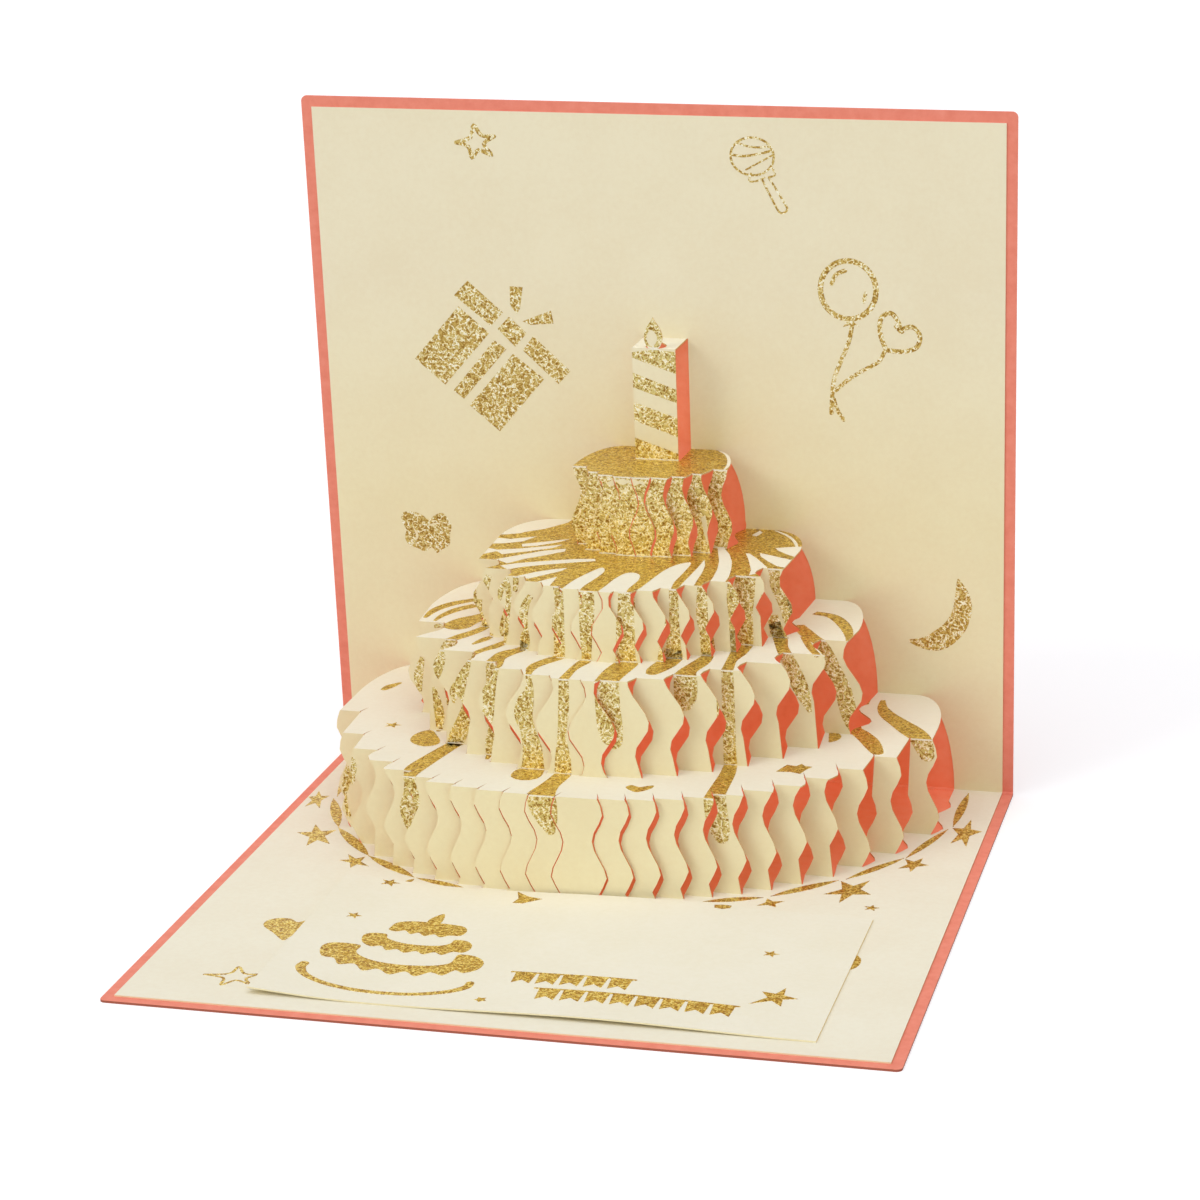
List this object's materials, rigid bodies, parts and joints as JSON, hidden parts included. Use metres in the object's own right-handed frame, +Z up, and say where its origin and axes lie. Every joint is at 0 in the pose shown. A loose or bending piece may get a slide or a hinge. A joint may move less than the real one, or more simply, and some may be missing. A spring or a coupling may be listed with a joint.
{
  "type": "pop up card",
  "caption": "Folded greeting card standing open, its inner sheet cut and folded into a round tiered cake with a candle, and a loose message card.",
  "frame": {"origin": "middle of the underside of the base panel, on the surface that the card stands on", "axes": "+X along the crease to the right, +Y from the front edge to the crease and the back panel, +Z up"},
  "size_m": [0.15, 0.15, 0.1492],
  "materials": {
    "cover_card": "matt coral card",
    "inner_card": "satin cream card with gold foil print",
    "message_card": "satin cream card with gold foil print"
  },
  "bodies": {
    "root": {"cover": "cover_card", "popup_sheet": "inner_card", "message_card": "message_card"}
  },
  "joints": []
}
